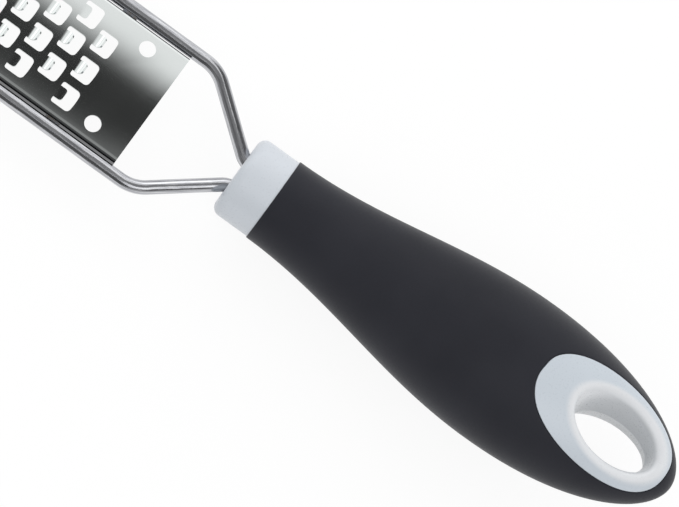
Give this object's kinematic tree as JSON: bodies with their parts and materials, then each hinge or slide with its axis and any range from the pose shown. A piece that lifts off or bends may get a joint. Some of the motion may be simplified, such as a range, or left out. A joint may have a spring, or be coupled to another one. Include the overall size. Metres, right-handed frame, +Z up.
{
  "type": "rasp zester",
  "caption": "Hand-held coarse rasp grater: a toothed steel plate welded in a looped rod frame, with a soft grip and a hanging eye.",
  "frame": {"origin": "centre of the bounding box at floor level, with the tool lying as it rests on its belly and on the far loop of its frame", "axes": "+X along the tool towards the tip of the frame, +Z up, which is the cutting side, +Y to the left when looking along +X"},
  "size_m": [0.3164, 0.0404, 0.0339],
  "materials": {
    "frame_steel": "bright polished stainless wire",
    "plate_steel": "bright rolled stainless sheet with a fine grain",
    "weld_steel": "as-welded stainless",
    "core_plastic": "satin pale bluish grey moulded polypropylene",
    "grip_rubber": "fine matt soft-touch elastomer"
  },
  "bodies": {
    "root": {"wire_frame": "frame_steel", "grating_plate": "plate_steel", "weld_tacks": "weld_steel", "collar": "core_plastic", "core_top": "core_plastic", "core_bottom": "core_plastic", "grip": "grip_rubber"}
  },
  "joints": []
}
